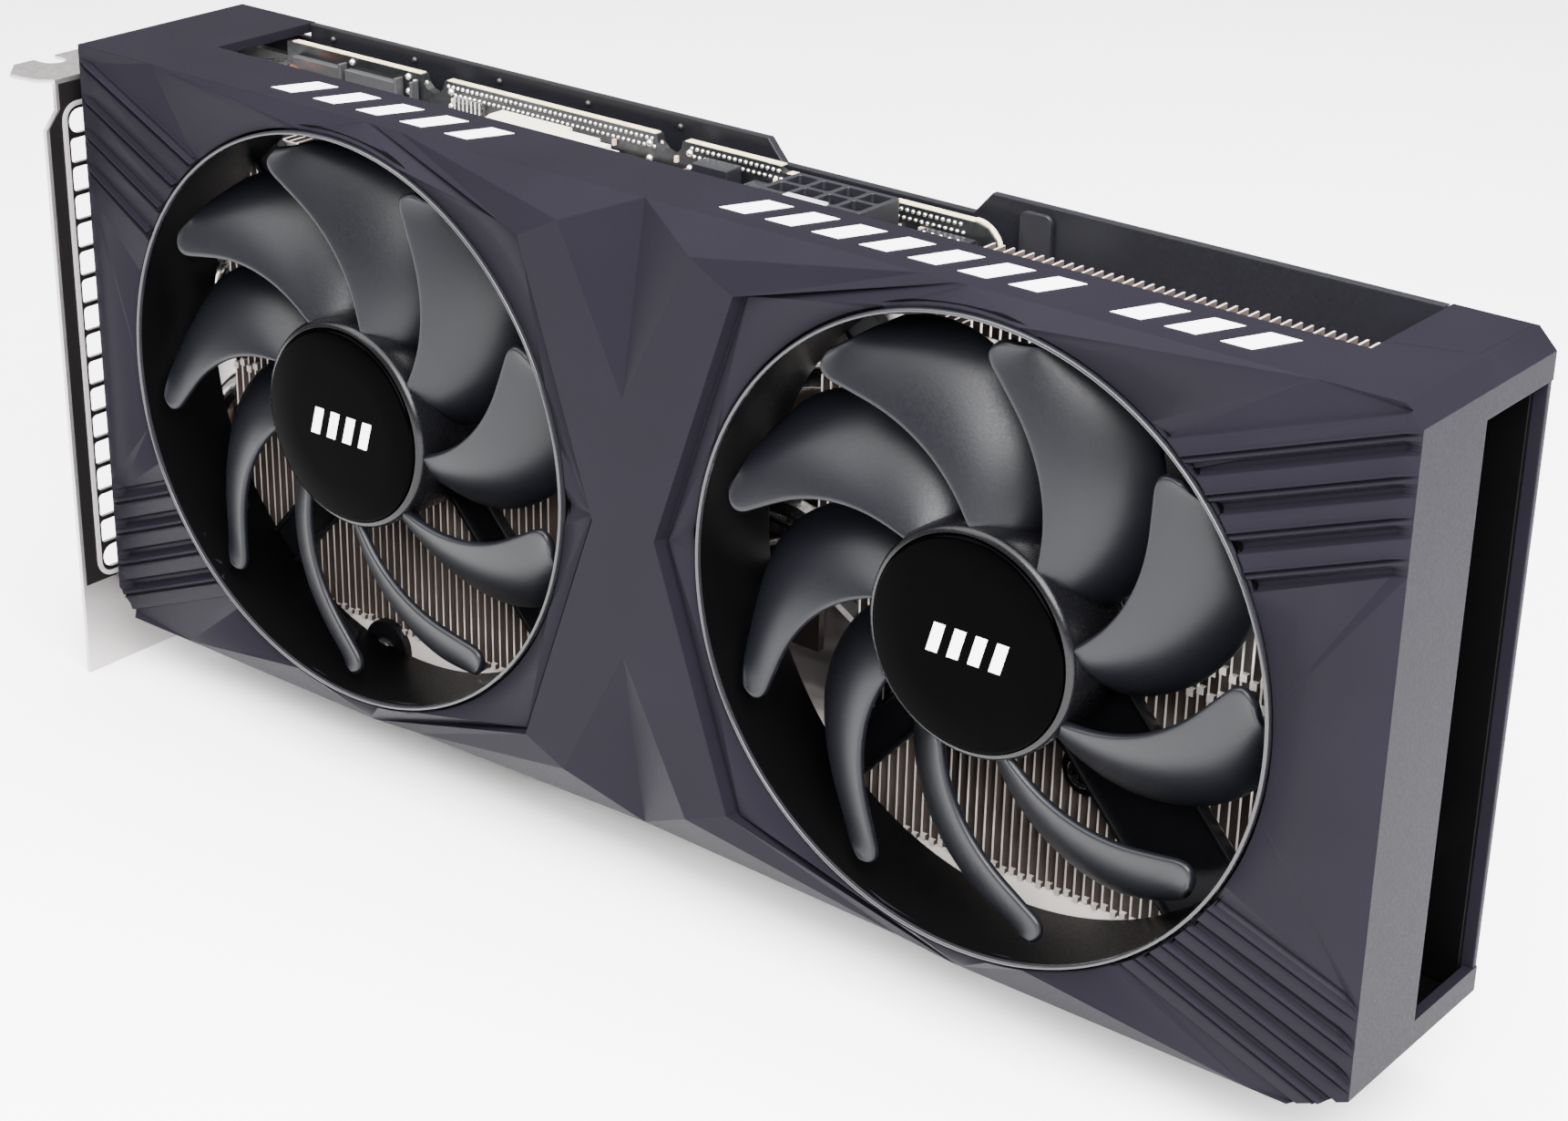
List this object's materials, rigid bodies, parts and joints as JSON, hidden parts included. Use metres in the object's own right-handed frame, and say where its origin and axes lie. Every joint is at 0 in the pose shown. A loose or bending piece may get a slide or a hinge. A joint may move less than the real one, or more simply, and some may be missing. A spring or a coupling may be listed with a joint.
{
  "type": "graphics card",
  "caption": "Two-fan graphics card in a faceted plastic shroud, with finned heatsink, circuit board, backplate and slot bracket.",
  "frame": {"origin": "on the bracket's outer face, on the plain strip between the vent and the display sockets, at half the bracket's height", "axes": "+X along the card away from the bracket, -Y out of the fans, +Z towards the top edge with the power socket"},
  "size_m": [0.2608, 0.041, 0.1139],
  "materials": {
    "shroud_plastic": "satin moulded plastic, charcoal with a faint violet cast",
    "backplate_metal": "matte black coated aluminium",
    "bracket_steel": "bright nickel plated steel",
    "screw_steel": "plated steel",
    "can_aluminium": "bare can",
    "ferrite": "pressed ferrite",
    "board_laminate": "black solder mask",
    "copper": "plain copper",
    "bearing_bronze": "sintered bronze",
    "fin_aluminium": "bare fins",
    "frame_aluminium": "bare sheet",
    "cap_gloss": "polished black disc",
    "fan_plastic": "fine matte moulding",
    "cable_jacket": "thin insulated wires",
    "chip_package": "moulded package",
    "silicon": "bare silicon",
    "connector_plastic": "black housing"
  },
  "bodies": {
    "card": {"backplate": "backplate_metal", "backplate_screw_1": "screw_steel", "backplate_screw_2": "screw_steel", "backplate_screw_3": "screw_steel", "backplate_screw_4": "screw_steel", "bracket_screw_1": "screw_steel", "bracket_screw_2": "screw_steel", "capacitor_1": "can_aluminium", "capacitor_2": "can_aluminium", "capacitor_3": "can_aluminium", "choke_1": "ferrite", "choke_2": "ferrite", "choke_3": "ferrite", "choke_4": "ferrite", "choke_5": "ferrite", "circuit_board": "board_laminate", "cold_plate": "copper", "displayport_socket_1": "bracket_steel", "displayport_socket_2": "bracket_steel", "displayport_socket_3": "bracket_steel", "fan_header": "connector_plastic", "fan_left_bearing": "bearing_bronze", "fan_left_cable": "cable_jacket", "fan_left_driver_board": "board_laminate", "fan_left_mount": "fan_plastic", "fan_left_stator": "copper", "fan_right_bearing": "bearing_bronze", "fan_right_cable": "cable_jacket", "fan_right_driver_board": "board_laminate", "fan_right_mount": "fan_plastic", "fan_right_stator": "copper", "fin_stack_left": "fin_aluminium", "fin_stack_right": "fin_aluminium", "gpu_die": "silicon", "gpu_substrate": "chip_package", "hdmi_socket": "bracket_steel", "heat_pipe_1": "copper", "heat_pipe_2": "copper", "heat_pipe_3": "copper", "heat_pipe_4": "copper", "heatsink_frame": "frame_aluminium", "io_bracket": "bracket_steel", "memory_chip_1": "chip_package", "memory_chip_2": "chip_package", "memory_chip_3": "chip_package", "memory_chip_4": "chip_package", "memory_chip_5": "chip_package", "memory_chip_6": "chip_package", "power_socket": "connector_plastic", "shroud": "shroud_plastic"},
    "fan_left": {"fan_left_rotor": "fan_plastic", "fan_left_cap": "cap_gloss", "fan_left_shaft": "screw_steel", "fan_left_magnet": "ferrite"},
    "fan_right": {"fan_right_rotor": "fan_plastic", "fan_right_cap": "cap_gloss", "fan_right_shaft": "screw_steel", "fan_right_magnet": "ferrite"}
  },
  "joints": [
    {"name": "fan_left_spin", "type": "hinge", "parent": "card", "child": "fan_left", "pos_m": [0.0664, -0.019, 0.0102], "axis": [0, -1, 0], "continuous": true},
    {"name": "fan_right_spin", "type": "hinge", "parent": "card", "child": "fan_right", "pos_m": [0.1874, -0.019, 0.0102], "axis": [0, -1, 0], "continuous": true}
  ]
}
